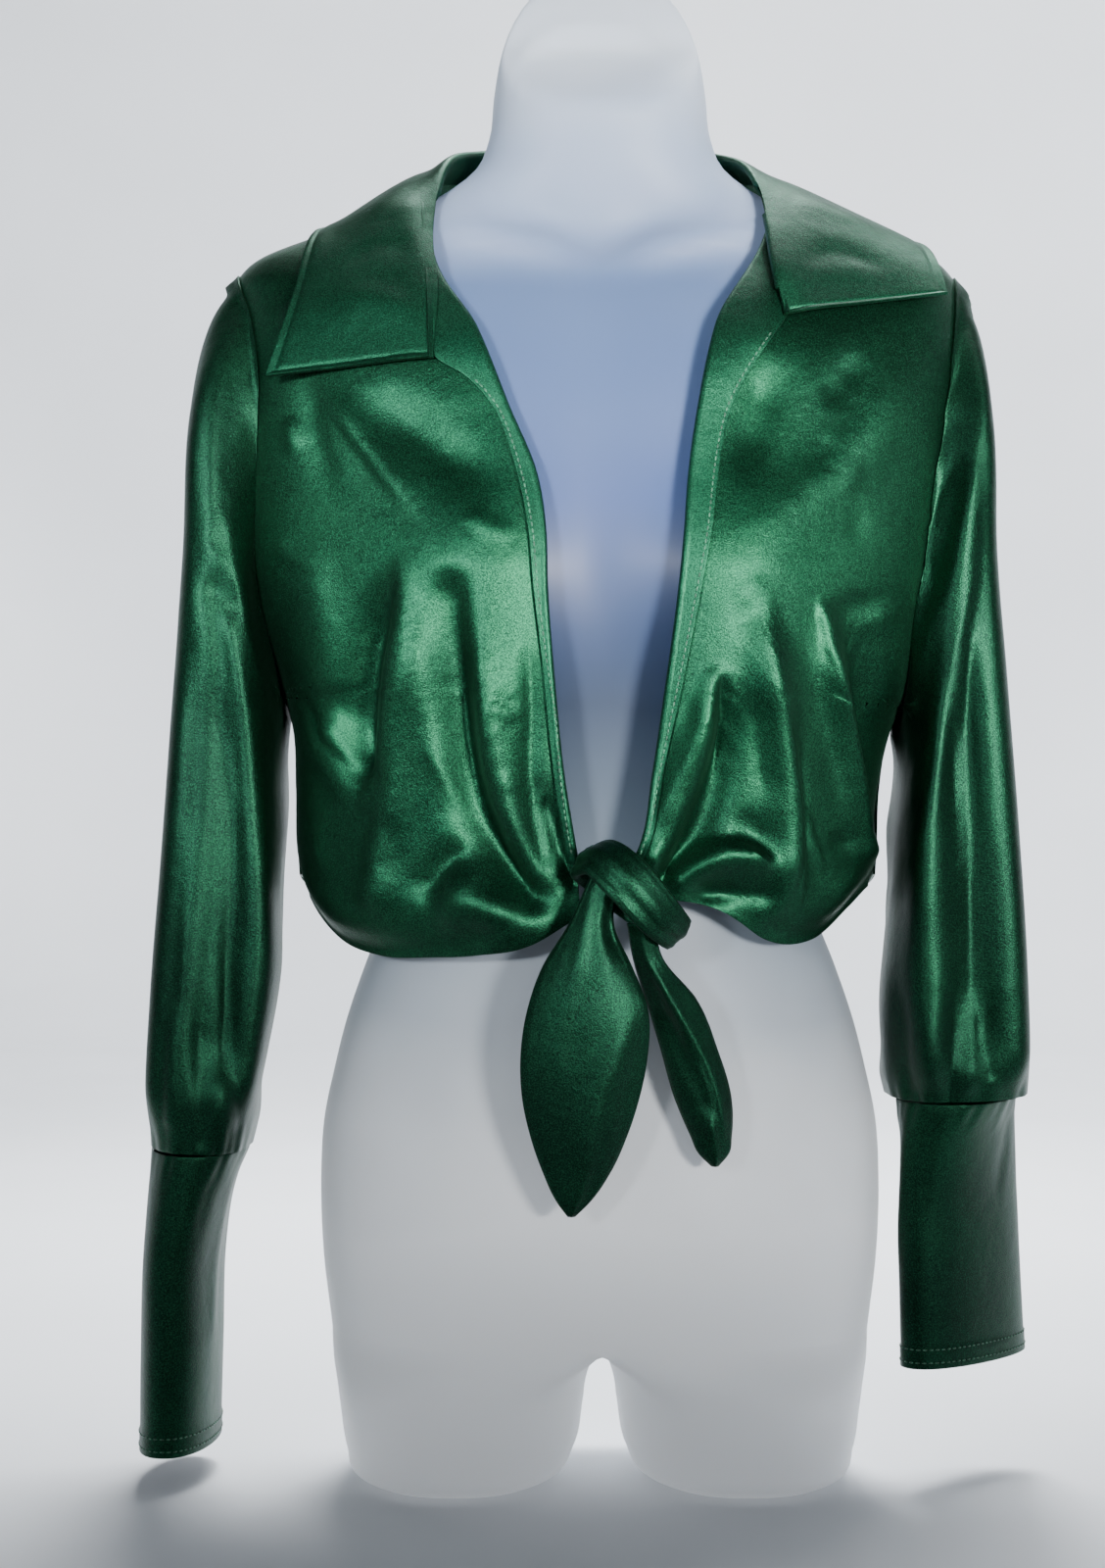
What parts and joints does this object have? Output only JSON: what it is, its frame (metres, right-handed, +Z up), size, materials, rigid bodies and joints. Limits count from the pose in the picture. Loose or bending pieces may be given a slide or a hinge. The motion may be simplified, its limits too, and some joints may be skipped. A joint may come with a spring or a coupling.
{
  "type": "tie-front crop top on a torso form",
  "caption": "Long-sleeved satin crop top with a wide spread collar, deep cuffs and a knotted tie front, worn by a limbless frosted torso form.",
  "frame": {"origin": "centre of the bounding box at the floor, under the form's thighs", "axes": "+Z up, the wearer faces -Y, the wearer's left side is +X"},
  "size_m": [0.4717, 0.2395, 0.797],
  "materials": {
    "back": "satin",
    "front_right": "satin",
    "front_left": "satin",
    "collar": "satin",
    "lapel_right": "satin",
    "lapel_left": "satin",
    "sleeve_right": "satin",
    "sleeve_left": "satin",
    "cuff_right": "satin",
    "cuff_left": "satin",
    "tie_end_right": "satin",
    "tie_end_left": "satin",
    "tie_knot": "satin",
    "torso_form": "frosted"
  },
  "bodies": {
    "root": {"back": "back", "front_right": "front_right", "front_left": "front_left", "collar": "collar", "lapel_right": "lapel_right", "lapel_left": "lapel_left", "sleeve_right": "sleeve_right", "sleeve_left": "sleeve_left", "cuff_right": "cuff_right", "cuff_left": "cuff_left", "tie_end_right": "tie_end_right", "tie_end_left": "tie_end_left", "tie_knot": "tie_knot", "torso_form": "torso_form"}
  },
  "joints": []
}
